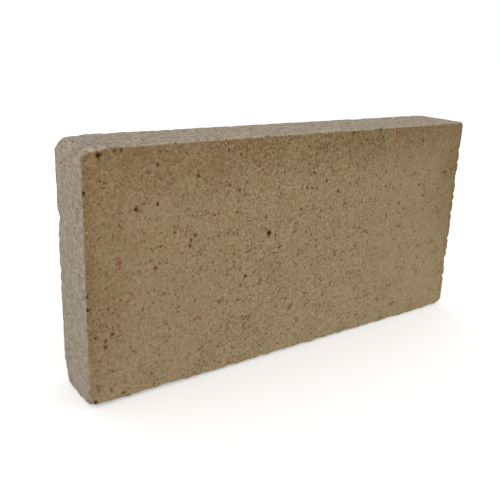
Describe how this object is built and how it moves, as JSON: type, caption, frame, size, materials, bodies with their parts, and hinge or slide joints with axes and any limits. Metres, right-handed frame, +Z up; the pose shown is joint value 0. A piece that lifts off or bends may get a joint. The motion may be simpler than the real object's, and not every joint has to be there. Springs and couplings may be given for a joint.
{
  "type": "refractory firebrick",
  "caption": "Thin split firebrick of fired clay, a plain rectangular block with crisp front and rounder back arrises, for lining kilns, stoves and fireplaces.",
  "frame": {"origin": "under the middle of the brick, on the surface that it stands on", "axes": "+X along the brick's length, +Y through its thickness from the crisp front face to the rounder back face, +Z up across its width"},
  "size_m": [0.23, 0.032, 0.114],
  "materials": {
    "fireclay": "matt, unglazed and gritty buff-brown fireclay with dark iron specks, paler and greyer on the narrow edges and ends"
  },
  "bodies": {
    "root": {"firebrick": "fireclay"}
  },
  "joints": []
}
